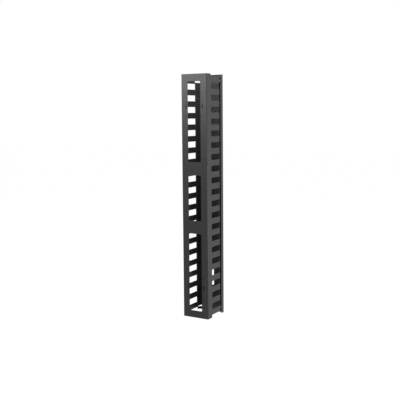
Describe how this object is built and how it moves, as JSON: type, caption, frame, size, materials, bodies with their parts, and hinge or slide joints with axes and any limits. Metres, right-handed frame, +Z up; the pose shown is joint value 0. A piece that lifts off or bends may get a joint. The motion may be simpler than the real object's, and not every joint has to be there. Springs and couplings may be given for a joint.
{
  "type": "vertical cable manager",
  "caption": "Tall steel cable channel with slotted sides, a windowed mounting plate, and a full-height hinged door with quarter-turn latches.",
  "frame": {"origin": "centre of the footprint, on the floor", "axes": "+Z up along the channel, -Y out of the mounting plate, +Y out of the door, +X towards the latch side"},
  "size_m": [0.254, 0.2794, 2.1336],
  "materials": {
    "powder_coated_steel": "fine-textured black powder coat",
    "coated_hinge_steel": "satin black coat",
    "coated_knob": "satin black coat",
    "zinc_plated_steel": "bright zinc plate",
    "rubber": "matte black"
  },
  "bodies": {
    "frame": {"back_plate": "powder_coated_steel", "left_side_panel": "powder_coated_steel", "right_side_panel": "powder_coated_steel", "bottom_hinge_frame_leaf": "coated_hinge_steel", "middle_hinge_frame_leaf": "coated_hinge_steel", "top_hinge_frame_leaf": "coated_hinge_steel", "bottom_hinge_pin": "zinc_plated_steel", "middle_hinge_pin": "zinc_plated_steel", "top_hinge_pin": "zinc_plated_steel", "bottom_latch_barrel": "zinc_plated_steel", "top_latch_barrel": "zinc_plated_steel", "bottom_latch_nut": "zinc_plated_steel", "top_latch_nut": "zinc_plated_steel", "door_bumpers": "rubber"},
    "door": {"door_panel": "powder_coated_steel", "bottom_hinge_door_leaf": "coated_hinge_steel", "middle_hinge_door_leaf": "coated_hinge_steel", "top_hinge_door_leaf": "coated_hinge_steel", "bottom_door_catch": "powder_coated_steel", "top_door_catch": "powder_coated_steel"},
    "bottom_latch": {"bottom_latch_knob": "coated_knob", "bottom_latch_spindle": "zinc_plated_steel", "bottom_latch_cam": "zinc_plated_steel", "bottom_latch_cam_screw": "zinc_plated_steel"},
    "top_latch": {"top_latch_knob": "coated_knob", "top_latch_spindle": "zinc_plated_steel", "top_latch_cam": "zinc_plated_steel", "top_latch_cam_screw": "zinc_plated_steel"}
  },
  "joints": [
    {"name": "door_hinge", "type": "hinge", "parent": "frame", "child": "door", "pos_m": [-0.12, 0.0894, 1.0668], "axis": [0, 0, 1], "range_deg": [0, 110]},
    {"name": "bottom_latch_turn", "type": "hinge", "parent": "frame", "child": "bottom_latch", "pos_m": [0.11, 0.08845, 0.05715], "axis": [-1, 0, 0], "range_deg": [0, 90]},
    {"name": "top_latch_turn", "type": "hinge", "parent": "frame", "child": "top_latch", "pos_m": [0.11, 0.08845, 2.07645], "axis": [1, 0, 0], "range_deg": [0, 90]}
  ]
}
